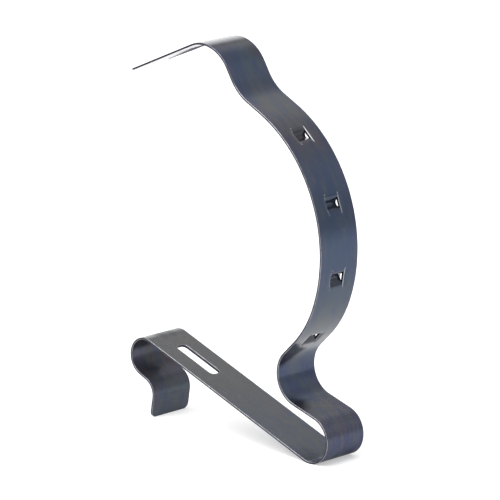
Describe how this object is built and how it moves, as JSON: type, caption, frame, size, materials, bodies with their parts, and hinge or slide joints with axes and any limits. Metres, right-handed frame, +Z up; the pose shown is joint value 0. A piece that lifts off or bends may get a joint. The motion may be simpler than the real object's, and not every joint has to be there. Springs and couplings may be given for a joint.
{
  "type": "spring grip clip",
  "caption": "Bent spring-steel strip with a hooked, slotted leg, a U bend and a bowed arm with a row of lanced bridges; it grips by flexing.",
  "frame": {"origin": "middle of the strip's footprint at the level of the two lines it stands on, the lip's end and the underside of the U bend", "axes": "+Z up with the clip standing on its lip and U bend, +X from the hook towards the U bend, +Y across the strip's width"},
  "size_m": [0.1072, 0.02, 0.154],
  "materials": {
    "blued_leg": "blued, satin gloss",
    "blued_bend": "blued, satin gloss",
    "blued_arm": "blued, satin gloss"
  },
  "bodies": {
    "base": {"slotted_leg": "blued_leg", "u_bend": "blued_bend"},
    "arm": {"bridged_arm": "blued_arm"}
  },
  "joints": [
    {"name": "arm_flex", "type": "hinge", "parent": "base", "child": "arm", "pos_m": [0.04949, 0, 0.00775], "axis": [0, -1, 0], "range_deg": [-15, 25], "stiffness_Nm_per_rad": 6, "deforming": ["u_bend"]}
  ]
}
